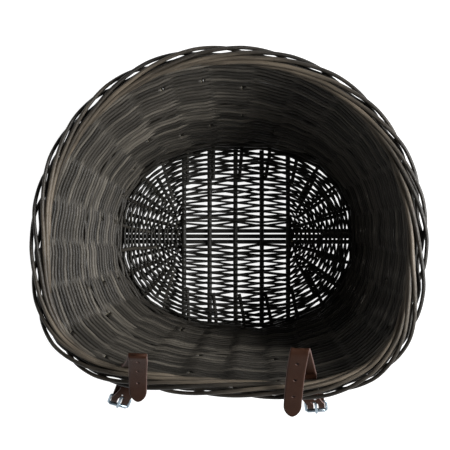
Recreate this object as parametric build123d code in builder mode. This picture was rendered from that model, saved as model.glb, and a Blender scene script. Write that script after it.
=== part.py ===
from build123d import *
import math
import os

# D-shaped willow basket with two buckled leather straps on its flat front side.
# Frame: X is the width, Y the depth with the front at -Y, Z up.
# The origin is the centre of the underside, on the surface that the basket stands on.

# --- driving dimensions, in millimetres ---
BASE_HALF_WIDTH = 167.0       # foot of the wall, measured to the middle of its thickness
BASE_HALF_DEPTH = 129.0
BASE_SQUARENESS = 2.4         # exponent of the superellipse
RIM_HALF_WIDTH = 211.0        # top of the wall, likewise
RIM_BACK = 205.0
RIM_FRONT = 169.0
RIM_BACK_SQUARENESS = 2.05
RIM_FRONT_SQUARENESS = 3.3
RIM_TWIST = -2.5              # degrees that the rim is turned over the base, by hand weaving
RIM_HEIGHT = 200.0            # height at which the rim outline above is reached
CURVE_POINTS = 96             # of the base and rim outlines
OUTLINE_POINTS = 48           # of each section of the wall
TANGENT_STEP = 0.002          # share of the outline either side of a point

STAKE_COUNT = 25
STAKE_RADIUS = 2.5
STAKE_CLEARANCE = 0.3
STAKE_BOTTOM = 4.0
STAKE_TOP = 206.0
CHANNEL_OVERRUN = 20.0
FIRST_STAKE = 0.012           # share of the outline from the middle of the front

WALL_HALF_THICKNESS = 5.6
FOOT_HALF_WIDTH = 6.2
FOOT_TOP = 16.0
LOWER_BAND_TOP = 106.0
UPPER_BAND_TOP = 195.0
BAND_GAP = 0.3
BORDER_HEIGHTS = (195.3, 202.5, 207.5, 210.0)
BORDER_HALF_WIDTHS = (7.2, 8.5, 7.5, 4.5)

CROSS_STICK_COUNT = 5
CROSS_STICK_PITCH = 36.5
CROSS_STICK_RADIUS = 3.2
CROSS_STICK_HEIGHT = 10.7
LONG_STICK_COUNT = 3
LONG_STICK_PITCH = 7.6
LONG_STICK_RADIUS = 3.0
LONG_STICK_HEIGHT = 4.1
LONG_STICK_HALF_LENGTH = 157.0
END_STICK_RADIUS = 2.6
END_STICK_HEIGHT = 7.4
END_STICK_ANGLES = (-72, -48, -24, 24, 48, 72)
END_STICK_START = 84.0        # distance of their inner ends from the middle
END_STICK_INNER_SPREAD = 34.0
END_STICK_OUTER_TURN = 0.62   # share of the angle that the outer ends are turned by
END_STICK_INSET = 2.0
STICK_END_INSET = 1.0
STICK_CLEARANCE = 0.3
BASE_WEAVE_TOP = 12.6
BASE_EDGE_INSET = 6.4         # from the wall's middle line in to the edge of the base weave

STRAP_WIDTH = 20.0
STRAP_THICKNESS = 3.0
STRAP_HINGE_GAP = 0.3
SLOT_HINGE_GAP = 0.9          # more room, so that the buckle leather can hang straight down
SLOT_HEIGHT = 188.0
SLOT_DEPTH = 60.0
SLOT_CLEARANCE = 0.75
TAIL_LENGTH = 100.0
TAIL_POINT_LENGTH = 17.0
TAIL_HOLE_RADIUS = 1.9
TAIL_FIRST_HOLE = 13.0
TAIL_HOLE_PITCH = 26.8
TAIL_HOLE_COUNT = 3

BUCKLE_DROP = 36.0            # degrees that the buckle leather falls below level
HEEL_BAR_RADIUS = 1.5
BAR_CLEARANCE = 0.15
PRONG_CLEARANCE = 0.08
FRAME_INSIDE_WIDTH = 21.6
FRAME_SIDE = 2.2
FRAME_THICKNESS = 3.0
FRAME_LENGTH = 14.5           # from the heel bar to the front bar
FRONT_BAR_RADIUS = 1.25
ROLLER_RADIUS = 2.0
ROLLER_CLEARANCE = 0.08
ROLLER_END_GAP = 0.4
PRONG_WIDTH = 3.2
PRONG_THICKNESS = 2.0
PRONG_REST_GAP = 0.3          # over the roller
PRONG_CURL_SHARE = 0.75       # of its thickness, where it is curled round the bar
PRONG_ROOT = (0.6, 2.4)       # place and length of the web between curl and tongue
PRONG_TIP = 2.0               # past the front bar
PRONG_SLOT_WIDTH = 5.6
PRONG_SLOT_LENGTH = 7.5
RIVET_RADIUS = 1.5
RIVET_CLEARANCE = 0.05
RIVET_HEAD_RADIUS = 2.6
RIVET_HEAD_THICKNESS = 0.9
RIVET_FROM_BAR = 10.6
RETURN_LENGTH = 14.0          # how far the leather folds back behind the heel bar
THROUGH_CUT = 12.0            # half depth of a cut through the folded leather
FRAME_CORNER = 1.0

# side, slot (centre x, outer y, inner y), crest (x, y, z), a point that the tail passes
# over (y, z), sideways drift of the tail, heel bar (shift, reach) and turn in degrees
STRAPS = (
    ("left", (-112, -174, -146.5), (-86, -121.5, 275), (-186.1, 200.5), -14.0, (-14, 21), 22.0),
    ("right", (93, -179, -155), (82, -116, 260), (-199.6, 204), -7.5, (9, 16), -6.0),
)


# --- outlines ---
def superellipse(angle, half_x, half_y, exponent):
    """Point of a superellipse at a parameter angle."""
    c, s = math.cos(angle), math.sin(angle)
    x = math.copysign(abs(c) ** (2 / exponent), c) * half_x
    y = math.copysign(abs(s) ** (2 / exponent), s) * half_y
    return x, y


def closed_curve(point_at):
    """Closed spline that starts at the middle of the front and runs anticlockwise."""
    turns = [-math.pi / 2 + 2 * math.pi * i / CURVE_POINTS for i in range(CURVE_POINTS)]
    return Spline([point_at(turn) for turn in turns], periodic=True)


def base_point(turn):
    return superellipse(turn, BASE_HALF_WIDTH, BASE_HALF_DEPTH, BASE_SQUARENESS)


def rim_point(turn):
    if math.sin(turn) > 0:
        x, y = superellipse(turn, RIM_HALF_WIDTH, RIM_BACK, RIM_BACK_SQUARENESS)
    else:
        x, y = superellipse(turn, RIM_HALF_WIDTH, RIM_FRONT, RIM_FRONT_SQUARENESS)
    c, s = math.cos(math.radians(RIM_TWIST)), math.sin(math.radians(RIM_TWIST))
    return x * c - y * s, x * s + y * c


BASE_CURVE = closed_curve(base_point)
RIM_CURVE = closed_curve(rim_point)


def wall_point(share, height):
    """Middle of the wall's thickness, at a share of the way round and a height."""
    rise = height / RIM_HEIGHT
    return BASE_CURVE.position_at(share) * (1 - rise) + RIM_CURVE.position_at(share) * rise


def outline_points(height, outward):
    points = []
    for i in range(OUTLINE_POINTS):
        share = i / OUTLINE_POINTS
        here = wall_point(share, height)
        ahead = wall_point((share + TANGENT_STEP) % 1, height)
        behind = wall_point((share - TANGENT_STEP) % 1, height)
        along = (ahead - behind).normalized()
        points.append((here.X + along.Y * outward, here.Y - along.X * outward))
    return points


def outline_face(height, outward):
    """Face inside the wall's outline, moved outward, at a height."""
    with BuildSketch(Plane.XY.offset(height)) as outline:
        with BuildLine():
            Spline(outline_points(height, outward), periodic=True)
        make_face()
    return outline.sketch.face()


def ring_walls(heights, half_widths):
    """Ring that follows the wall through several heights, each with its half width."""
    levels = list(zip(heights, half_widths))
    loft([outline_face(height, half) for height, half in levels], ruled=True)
    loft([outline_face(height, -half) for height, half in levels], ruled=True, mode=Mode.SUBTRACT)


def stake_plane(index):
    """Plane at the foot of a stake, with the stake along its normal."""
    share = (FIRST_STAKE + index / STAKE_COUNT) % 1
    foot = wall_point(share, STAKE_BOTTOM)
    head = wall_point(share, STAKE_TOP)
    start = Vector(foot.X, foot.Y, STAKE_BOTTOM)
    rise = Vector(head.X, head.Y, STAKE_TOP) - start
    return Plane(origin=start, z_dir=rise), rise.length


STAKES = [stake_plane(index) for index in range(STAKE_COUNT)]


def cut_stake_channels():
    """Clearance channels for the stakes through the ring being built."""
    for plane, length in STAKES:
        start, reach = plane.offset(-CHANNEL_OVERRUN), length + 2 * CHANNEL_OVERRUN
        rod(start, STAKE_RADIUS + STAKE_CLEARANCE, reach, Mode.SUBTRACT)


def rod(plane, radius, length, mode=Mode.ADD):
    """Round rod from a plane along its normal."""
    with BuildSketch(plane) as section:
        Circle(radius)
    extrude(section.sketch, amount=length, mode=mode)


os.makedirs("parts", exist_ok=True)


def save(piece, name):
    piece.part.label = name
    export_step(piece.part, f"parts/{name}.step")


# --- base sticks ---
def base_edge_half_depth(x):
    """Half depth of the base weave at a place along its width."""
    half_width = BASE_HALF_WIDTH - BASE_EDGE_INSET
    half_depth = BASE_HALF_DEPTH - BASE_EDGE_INSET
    share = 1 - abs(x / half_width) ** BASE_SQUARENESS
    return half_depth * share ** (1 / BASE_SQUARENESS)


def cross_stick_plane(index):
    x = (index - (CROSS_STICK_COUNT - 1) / 2) * CROSS_STICK_PITCH
    reach = base_edge_half_depth(x) - STICK_END_INSET
    return Plane(origin=(x, -reach, CROSS_STICK_HEIGHT), z_dir=(0, 1, 0)), 2 * reach


def long_stick_plane(index):
    y = (index - (LONG_STICK_COUNT - 1) / 2) * LONG_STICK_PITCH
    return Plane(origin=(-LONG_STICK_HALF_LENGTH, y, LONG_STICK_HEIGHT), z_dir=(1, 0, 0))


def end_stick_plane(side, angle):
    """Stick that fans out from the outer cross stick to the end of the oval."""
    turn = math.radians(angle)
    start_y = END_STICK_INNER_SPREAD * math.sin(turn)
    outer_turn = turn * END_STICK_OUTER_TURN
    end_x = (BASE_HALF_WIDTH - BASE_EDGE_INSET - END_STICK_INSET) * math.cos(outer_turn)
    end_y = (BASE_HALF_DEPTH - BASE_EDGE_INSET) * math.sin(outer_turn)
    start = Vector(side * END_STICK_START, start_y, END_STICK_HEIGHT)
    run = Vector(side * end_x, end_y, END_STICK_HEIGHT) - start
    return Plane(origin=start, z_dir=run), run.length - STICK_END_INSET


for index in range(CROSS_STICK_COUNT):
    plane, length = cross_stick_plane(index)
    with BuildPart() as cross_stick:
        rod(plane, CROSS_STICK_RADIUS, length)
    save(cross_stick, f"base_cross_stick_{index + 1}")

for index in range(LONG_STICK_COUNT):
    with BuildPart() as long_stick:
        rod(long_stick_plane(index), LONG_STICK_RADIUS, 2 * LONG_STICK_HALF_LENGTH)
    save(long_stick, f"base_long_stick_{index + 1}")

for side, side_name in ((-1, "left"), (1, "right")):
    with BuildPart() as end_sticks:
        for angle in END_STICK_ANGLES:
            plane, length = end_stick_plane(side, angle)
            rod(plane, END_STICK_RADIUS, length)
    save(end_sticks, f"base_end_sticks_{side_name}")

# --- woven floor, with a channel round every stick ---
with BuildPart() as base_weave:
    extrude(outline_face(0, -BASE_EDGE_INSET), amount=BASE_WEAVE_TOP)
    for index in range(CROSS_STICK_COUNT):
        plane, length = cross_stick_plane(index)
        rod(plane, CROSS_STICK_RADIUS + STICK_CLEARANCE, length, Mode.SUBTRACT)
    for index in range(LONG_STICK_COUNT):
        plane = long_stick_plane(index)
        rod(plane, LONG_STICK_RADIUS + STICK_CLEARANCE, 2 * LONG_STICK_HALF_LENGTH, Mode.SUBTRACT)
    for side in (-1, 1):
        for angle in END_STICK_ANGLES:
            plane, length = end_stick_plane(side, angle)
            rod(plane, END_STICK_RADIUS + STICK_CLEARANCE, length, Mode.SUBTRACT)
save(base_weave, "base_weave")

# --- foot and wall bands ---
with BuildPart() as foot_wale:
    ring_walls((0, FOOT_TOP), (FOOT_HALF_WIDTH,) * 2)
    cut_stake_channels()
save(foot_wale, "foot_wale")

with BuildPart() as lower_weave:
    ring_walls((FOOT_TOP + BAND_GAP, LOWER_BAND_TOP), (WALL_HALF_THICKNESS,) * 2)
    cut_stake_channels()
save(lower_weave, "wall_lower_weave")

with BuildPart() as upper_weave:
    ring_walls((LOWER_BAND_TOP + BAND_GAP, UPPER_BAND_TOP), (WALL_HALF_THICKNESS,) * 2)
    cut_stake_channels()
    for _, slot, *_ in STRAPS:
        with Locations((slot[0], (slot[1] + slot[2]) / 2, SLOT_HEIGHT)):
            Box(
                STRAP_WIDTH + 2 * SLOT_CLEARANCE,
                SLOT_DEPTH,
                STRAP_THICKNESS + 2 * SLOT_CLEARANCE,
                mode=Mode.SUBTRACT,
            )
save(upper_weave, "wall_upper_weave")

with BuildPart() as rim_border:
    ring_walls(BORDER_HEIGHTS, BORDER_HALF_WIDTHS)
    cut_stake_channels()
save(rim_border, "rim_border")

# --- upright stakes ---
for index, (plane, length) in enumerate(STAKES):
    with BuildPart() as stake:
        rod(plane, STAKE_RADIUS, length)
    save(stake, f"side_stake_{index + 1:02d}")


# --- straps ---
def leather_plane(start, along):
    """Plane of a flat leather strip: local x is the width, local y runs along it."""
    run = Vector(*along).normalized()
    return Plane(origin=start, x_dir=(1, 0, 0), z_dir=Vector(1, 0, 0).cross(run))


def strip(plane, length, drift, margin=0.0, mode=Mode.ADD):
    """Flat strip whose far end stands sideways of its near end."""
    half = STRAP_WIDTH / 2 + margin
    with BuildSketch(plane) as outline:
        Polygon((-half, 0), (half, 0), (half + drift, length), (drift - half, length), align=None)
    extrude(outline.sketch, amount=STRAP_THICKNESS / 2 + margin, both=True, mode=mode)


def fold(centre, radius, width, mode=Mode.ADD):
    """Round fold of the leather along X."""
    with BuildSketch(Plane(origin=centre, z_dir=(1, 0, 0))) as section:
        Circle(radius)
    extrude(section.sketch, amount=width / 2, both=True, mode=mode)


def rising_leather(slot, crest, margin=0.0, mode=Mode.ADD):
    """Stretch of the strap from the slot's inner side up to the crest."""
    inside = (slot[0], slot[2], SLOT_HEIGHT)
    rise = Vector(0, crest[1] - slot[2], crest[2] - SLOT_HEIGHT)
    strip(leather_plane(inside, rise), rise.length, crest[0] - slot[0], margin, mode)


def strap_limb(slot, crest):
    """Leather from outside the slot, through the wall and up to the crest."""
    outside = (slot[0], slot[1], SLOT_HEIGHT)
    inside = (slot[0], slot[2], SLOT_HEIGHT)
    with BuildPart() as limb:
        strip(leather_plane(outside, (0, 1, 0)), slot[2] - slot[1], 0)
        fold(outside, STRAP_THICKNESS / 2, STRAP_WIDTH)
        fold(inside, STRAP_THICKNESS / 2, STRAP_WIDTH)
        rising_leather(slot, crest)
        fold(crest, STRAP_THICKNESS / 2, STRAP_WIDTH)
    return limb


def strap_tail(slot, crest, over, drift):
    """Free end of the strap, from the crest over the border, with its holes and point."""
    half = STRAP_WIDTH / 2
    plane = leather_plane(crest, (0, over[0] - crest[1], over[1] - crest[2]))
    shoulder = TAIL_LENGTH - TAIL_POINT_LENGTH
    lean = drift / TAIL_LENGTH
    with BuildPart() as tail:
        with BuildSketch(plane):
            with BuildLine():
                right = Line((half, 0), (half + lean * shoulder, shoulder))
                left = Line((-half + lean * shoulder, shoulder), (-half, 0))
                tip = (drift, TAIL_LENGTH)
                TangentArc(right @ 1, tip, tangent=right % 1)
                TangentArc(left @ 0, tip, tangent=(left % 0) * -1)
                Line(left @ 1, right @ 0)
            make_face()
            for index in range(TAIL_HOLE_COUNT):
                along = TAIL_FIRST_HOLE + index * TAIL_HOLE_PITCH
                with Locations((lean * along, along)):
                    Circle(TAIL_HOLE_RADIUS, mode=Mode.SUBTRACT)
        extrude(amount=STRAP_THICKNESS / 2, both=True)
        fold(crest, STRAP_THICKNESS / 2 + STRAP_HINGE_GAP, STRAP_WIDTH + 2, Mode.SUBTRACT)
        rising_leather(slot, crest, STRAP_HINGE_GAP, Mode.SUBTRACT)
    return tail


def buckle_planes(slot, bar, turn):
    """Plane of the buckle leather, and the plane through the heel bar's axis.

    Their local z points to the underside of the leather.
    """
    drop, swing = math.radians(BUCKLE_DROP), math.radians(turn)
    outside = (slot[0], slot[1], SLOT_HEIGHT)
    leather = leather_plane(outside, (0, -math.cos(drop), -math.sin(drop)))
    sunk = HEEL_BAR_RADIUS + BAR_CLEARANCE + STRAP_THICKNESS / 2
    heel = Plane(
        origin=leather.from_local_coords((bar[0], bar[1], sunk)),
        x_dir=leather.x_dir * math.cos(swing) + leather.y_dir * math.sin(swing),
        z_dir=leather.z_dir,
    )
    return leather, heel


def buckle_leather(slot, bar, turn):
    """Leather outside the slot, folded back round the heel bar, open for the prong."""
    leather, heel = buckle_planes(slot, bar, turn)
    half = STRAP_WIDTH / 2
    fold_inside = HEEL_BAR_RADIUS + BAR_CLEARANCE
    fold_outside = fold_inside + STRAP_THICKNESS
    reach_x = half * math.cos(math.radians(turn))
    reach_y = half * math.sin(math.radians(turn))
    with BuildPart() as flap:
        with BuildSketch(leather):
            Polygon(
                (-half, 0),
                (half, 0),
                (bar[0] + reach_x, bar[1] + reach_y),
                (bar[0] - reach_x, bar[1] - reach_y),
                align=None,
            )
        extrude(amount=STRAP_THICKNESS / 2, both=True)
        with BuildSketch(Plane(origin=heel.origin, z_dir=heel.x_dir)):
            Circle(fold_outside)
        extrude(amount=half, both=True)
        with BuildSketch(heel.offset(fold_inside)):
            with Locations((0, -RETURN_LENGTH / 2)):
                Rectangle(STRAP_WIDTH, RETURN_LENGTH)
        extrude(amount=STRAP_THICKNESS)
        with BuildSketch(Plane(origin=heel.origin, z_dir=heel.x_dir)):
            Circle(fold_inside)
        extrude(amount=half + 1, both=True, mode=Mode.SUBTRACT)
        with BuildSketch(heel):
            with Locations((0, (fold_outside + 1 - PRONG_SLOT_LENGTH) / 2)):
                Rectangle(PRONG_SLOT_WIDTH, PRONG_SLOT_LENGTH + fold_outside + 1)
        extrude(amount=THROUGH_CUT, both=True, mode=Mode.SUBTRACT)
        with BuildSketch(heel):
            with Locations((0, -RIVET_FROM_BAR)):
                Circle(RIVET_RADIUS + RIVET_CLEARANCE)
        extrude(amount=THROUGH_CUT, both=True, mode=Mode.SUBTRACT)
        fold(leather.origin, STRAP_THICKNESS / 2 + SLOT_HINGE_GAP, STRAP_WIDTH * 2, Mode.SUBTRACT)
    return flap


def buckle_rivet(slot, bar, turn):
    """Tubular rivet that holds the folded leather together."""
    _, heel = buckle_planes(slot, bar, turn)
    fold_outside = HEEL_BAR_RADIUS + BAR_CLEARANCE + STRAP_THICKNESS
    low, high = -fold_outside - RIVET_CLEARANCE, fold_outside + RIVET_CLEARANCE
    with BuildPart() as rivet:
        for height, radius, depth in (
            (low - RIVET_HEAD_THICKNESS, RIVET_HEAD_RADIUS, RIVET_HEAD_THICKNESS),
            (low, RIVET_RADIUS, high - low),
            (high, RIVET_HEAD_RADIUS, RIVET_HEAD_THICKNESS),
        ):
            with BuildSketch(heel.offset(height)):
                with Locations((0, -RIVET_FROM_BAR)):
                    Circle(radius)
            extrude(amount=depth)
    return rivet


def buckle_frame(slot, bar, turn):
    """Rectangular frame with its heel bar inside the leather and its front bar."""
    _, heel = buckle_planes(slot, bar, turn)
    half = FRAME_INSIDE_WIDTH / 2
    with BuildPart() as frame:
        with BuildSketch(heel.offset(-FRAME_THICKNESS / 2)):
            with Locations(
                (-half - FRAME_SIDE / 2, FRAME_LENGTH / 2),
                (half + FRAME_SIDE / 2, FRAME_LENGTH / 2),
            ):
                RectangleRounded(FRAME_SIDE, FRAME_LENGTH + 2 * HEEL_BAR_RADIUS, FRAME_CORNER)
        extrude(amount=FRAME_THICKNESS)
        for along, radius in ((0, HEEL_BAR_RADIUS), (FRAME_LENGTH, FRONT_BAR_RADIUS)):
            centre = heel.from_local_coords((0, along, 0))
            with BuildSketch(Plane(origin=centre, z_dir=heel.x_dir)):
                Circle(radius)
            extrude(amount=half + FRAME_SIDE / 2, both=True)
    return frame


def buckle_roller(slot, bar, turn):
    """Loose tube round the front bar."""
    _, heel = buckle_planes(slot, bar, turn)
    centre = heel.from_local_coords((0, FRAME_LENGTH, 0))
    with BuildPart() as roller:
        with BuildSketch(Plane(origin=centre, z_dir=heel.x_dir)):
            Circle(ROLLER_RADIUS)
            Circle(FRONT_BAR_RADIUS + ROLLER_CLEARANCE, mode=Mode.SUBTRACT)
        extrude(amount=FRAME_INSIDE_WIDTH / 2 - ROLLER_END_GAP, both=True)
    return roller


def buckle_prong(slot, bar, turn):
    """Prong curled round the heel bar, its tip on the roller."""
    _, heel = buckle_planes(slot, bar, turn)
    curl_radius = HEEL_BAR_RADIUS + PRONG_CLEARANCE + PRONG_THICKNESS * PRONG_CURL_SHARE
    tongue = -(ROLLER_RADIUS + PRONG_REST_GAP + PRONG_THICKNESS / 2)
    with BuildPart() as prong:
        with BuildSketch(Plane(origin=heel.origin, x_dir=heel.y_dir, z_dir=heel.x_dir)):
            Circle(curl_radius)
            with Locations(((FRAME_LENGTH + PRONG_TIP) / 2, tongue)):
                Rectangle(FRAME_LENGTH + PRONG_TIP, PRONG_THICKNESS)
            with Locations((PRONG_ROOT[0], tongue + PRONG_THICKNESS / 2)):
                Rectangle(PRONG_ROOT[1], PRONG_THICKNESS)
            Circle(HEEL_BAR_RADIUS + PRONG_CLEARANCE, mode=Mode.SUBTRACT)
        extrude(amount=PRONG_WIDTH / 2, both=True)
    return prong


for side, slot, crest, over, drift, bar, turn in STRAPS:
    save(strap_limb(slot, crest), f"{side}_strap_limb")
    save(strap_tail(slot, crest, over, drift), f"{side}_strap_tail")
    save(buckle_leather(slot, bar, turn), f"{side}_buckle_leather")
    save(buckle_rivet(slot, bar, turn), f"{side}_buckle_rivet")
    save(buckle_frame(slot, bar, turn), f"{side}_buckle_frame")
    save(buckle_roller(slot, bar, turn), f"{side}_buckle_roller")
    save(buckle_prong(slot, bar, turn), f"{side}_buckle_prong")
    _, heel = buckle_planes(slot, bar, turn)
    print(side, "heel bar", heel.origin, "axis", heel.x_dir)
    print(side, "front bar", heel.from_local_coords((0, FRAME_LENGTH, 0)))
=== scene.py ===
# Willow handlebar basket: rods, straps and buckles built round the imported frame.
# Geometry is worked out in millimetres and becomes metres when a mesh is made.
import math

import bmesh
import bpy
import numpy as np
from mathutils import Matrix, Vector


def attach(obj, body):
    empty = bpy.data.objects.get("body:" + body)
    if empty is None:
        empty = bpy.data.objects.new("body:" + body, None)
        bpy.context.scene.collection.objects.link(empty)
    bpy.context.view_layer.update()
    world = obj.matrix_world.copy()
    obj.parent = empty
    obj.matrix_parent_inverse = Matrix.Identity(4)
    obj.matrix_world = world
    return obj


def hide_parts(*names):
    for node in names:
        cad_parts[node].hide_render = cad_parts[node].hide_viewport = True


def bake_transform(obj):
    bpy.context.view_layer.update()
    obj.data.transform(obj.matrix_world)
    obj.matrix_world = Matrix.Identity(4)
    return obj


MM = 0.001
UP = np.array((0.0, 0.0, 1.0))
RANDOM = np.random.default_rng(11)

# --- driving dimensions of the basket, as in the frame ---
BASE_HALF = (167.0, 129.0)
BASE_SQUARENESS = 2.4
RIM_HALF_WIDTH = 211.0
RIM_BACK, RIM_BACK_SQUARENESS = 205.0, 2.05
RIM_FRONT, RIM_FRONT_SQUARENESS = 169.0, 3.3
RIM_TWIST = math.radians(-2.5)
RIM_HEIGHT = 200.0
STAKE_COUNT = 25
FIRST_STAKE = 0.012
SLOT_HEIGHT = 188.0

# --- weave ---
ROW_PITCH = 3.35              # height of one row of the wall
ROW_RADIUS = 2.3
# Place between two stakes, then the distance from the wall's middle of a rod that leaves the
# inside there and of a rod that comes to it.
ROW_PATH = (
    (0.0, 3.8, -3.8), (0.09, 3.3, -3.4), (0.2, 2.5, -2.6), (0.42, 1.3, -1.3), (0.62, 1.1, -0.6),
    (0.75, 1.1, 1.1), (0.86, 0.6, 2.4), (0.94, -1.9, 3.2),
)
ROW_WANDER = 0.28             # how far a row strays from its height
CHORD = 1.0                   # how flat a row runs between two stakes
FOOT_TOP = 16.0
FOOT_WALES = (3.4, 8.6, 13.4)                 # heights
FOOT_LINING = ((4.0, 5.2), (9.5, 4.6))        # height, and how far inside the wall's middle
MIDDLE_BAND = 106.0
WEAVE_TOP = 195.0
SAMPLES = 8                   # along a row, between two stakes

# side, slot (x, outer y, inner y), heel bar (shift, reach), turn in degrees, and the strap's line
STRAPS = {
    "left": dict(
        slot=(-112, -174, -146.5), bar=(-14, 21), turn=22.0, crest=(-86, -121.5, 275),
        line=((-112, -161, 188), (-112, -152, 188), (-111.5, -147.5, 193), (-108, -146, 206),
              (-101, -141, 228), (-93, -132.5, 252), (-87.5, -124, 268), (-85.9, -121.2, 274.5),
              (-86.2, -124.6, 273), (-88, -131.5, 261), (-92.5, -145, 240), (-96.4, -162, 220),
              (-98.5, -174, 209.5), (-100.4, -187, 200.5))),
    "right": dict(
        slot=(93, -179, -155), bar=(9, 16), turn=-6.0, crest=(82, -116, 260),
        line=((93, -166, 188), (93, -160, 188), (92.5, -154, 192), (91, -150, 204),
              (88, -138, 228), (84.5, -124.5, 249), (82.5, -117.5, 257.5), (81.6, -116.8, 261.5),
              (80.6, -121.5, 260.5), (79, -132.5, 251), (77.5, -146, 239.5), (76, -168, 222.5),
              (75, -186, 209), (74.6, -201, 198.5))),
}
STRAP_WIDTH = 20.0
STRAP_THICKNESS = 2.8
CREST_RADIUS = 1.38           # of the round fold where the tail bends
TAIL_POINT = 17.0
TAIL_HOLES = ((0, 33.4), (0, 60.2), (0, 87.0))  # place across, and distance from the tip
HOLE_RADIUS = 1.9

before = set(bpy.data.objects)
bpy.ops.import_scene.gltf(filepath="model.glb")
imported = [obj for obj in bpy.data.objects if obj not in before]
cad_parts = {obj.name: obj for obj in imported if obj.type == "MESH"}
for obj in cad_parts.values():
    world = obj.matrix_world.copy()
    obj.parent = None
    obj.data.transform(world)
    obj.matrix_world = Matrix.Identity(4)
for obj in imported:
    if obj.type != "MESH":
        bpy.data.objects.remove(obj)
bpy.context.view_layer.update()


# --- small geometry helpers ---
def unit(v):
    v = np.asarray(v, float)
    return v / np.maximum(np.linalg.norm(v, axis=-1, keepdims=True), 1e-9)


def smooth_line(points, count):
    """Smooth line through a few points, sampled evenly by length."""
    points = np.asarray(points, float)
    padded = np.vstack([2 * points[0] - points[1], points, 2 * points[-1] - points[-2]])
    pieces = []
    for i in range(len(points) - 1):
        a, b, c, d = padded[i:i + 4]
        t = np.linspace(0, 1, 24, endpoint=False)[:, None]
        pieces.append(
            0.5 * (2 * b + (c - a) * t + (2 * a - 5 * b + 4 * c - d) * t**2
                   + (3 * b - a - 3 * c + d) * t**3)
        )
    line = np.vstack(pieces + [points[-1:]])
    along = lengths(line)
    wanted = np.linspace(0, along[-1], count)
    return np.stack([np.interp(wanted, along, line[:, k]) for k in range(line.shape[1])], axis=1)


def lengths(line):
    """Distance along a line at each of its points."""
    return np.concatenate([[0], np.cumsum(np.linalg.norm(np.diff(line, axis=0), axis=1))])


def swing(t):
    """Goes from 1 at t 0 to -1 at t 1, straight in between and rounded at its turns."""
    sharp = 0.07
    return (np.cos(math.pi * t) + sharp * np.cos(3 * math.pi * t)) / (1 + sharp)


def superellipse(turn, half_x, half_y, exponent):
    c, s = np.cos(turn), np.sin(turn)
    x = np.sign(c) * np.abs(c) ** (2 / exponent) * half_x
    y = np.sign(s) * np.abs(s) ** (2 / exponent) * half_y
    return np.stack([x, y], axis=-1)


class Outline:
    """Closed line from the middle of the front, anticlockwise, read by share of its length."""

    def __init__(self, points):
        self.points = points
        self.along = lengths(points)

    def at(self, share):
        where = np.mod(share, 1.0) * self.along[-1]
        return np.stack([np.interp(where, self.along, self.points[:, k]) for k in (0, 1)], axis=-1)


def base_outline(inset=0.0):
    turns = np.linspace(-math.pi / 2, 1.5 * math.pi, 1441)
    return superellipse(turns, BASE_HALF[0] - inset, BASE_HALF[1] - inset, BASE_SQUARENESS)


def rim_outline():
    turns = np.linspace(-math.pi / 2, 1.5 * math.pi, 1441)
    back = superellipse(turns, RIM_HALF_WIDTH, RIM_BACK, RIM_BACK_SQUARENESS)
    front = superellipse(turns, RIM_HALF_WIDTH, RIM_FRONT, RIM_FRONT_SQUARENESS)
    points = np.where(np.sin(turns)[:, None] > 0, back, front)
    c, s = math.cos(RIM_TWIST), math.sin(RIM_TWIST)
    return points @ np.array(((c, s), (-s, c)))


BASE = Outline(base_outline())
RIM = Outline(rim_outline())


def wall_curve(share, height):
    """Middle of the wall's thickness, seen from above."""
    rise = np.asarray(height, float)[..., None] / RIM_HEIGHT
    return BASE.at(share) * (1 - rise) + RIM.at(share) * rise


def stake_share(index):
    return FIRST_STAKE + index / STAKE_COUNT


def wall_line(panel, height, outward, chord=CHORD):
    """Points on the wall. panel counts stakes round the basket, flat between two of them."""
    panel, height = np.asarray(panel, float), np.asarray(height, float)
    outward = np.asarray(outward, float)
    before = np.floor(panel)
    t = (panel - before)[..., None]
    a, b = wall_curve(stake_share(before), height), wall_curve(stake_share(before + 1), height)
    curve = wall_curve(stake_share(panel), height)
    middle = curve + chord * (a * (1 - t) + b * t - curve)
    ahead = wall_curve(stake_share(panel + 0.2), height)
    behind = wall_curve(stake_share(panel - 0.2), height)
    along = unit(ahead - behind)
    normal = np.stack([along[..., 1], -along[..., 0]], axis=-1)
    spot = middle + normal * outward[..., None]
    return np.concatenate([spot, height[..., None] * np.ones_like(spot[..., :1])], axis=-1)


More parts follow.
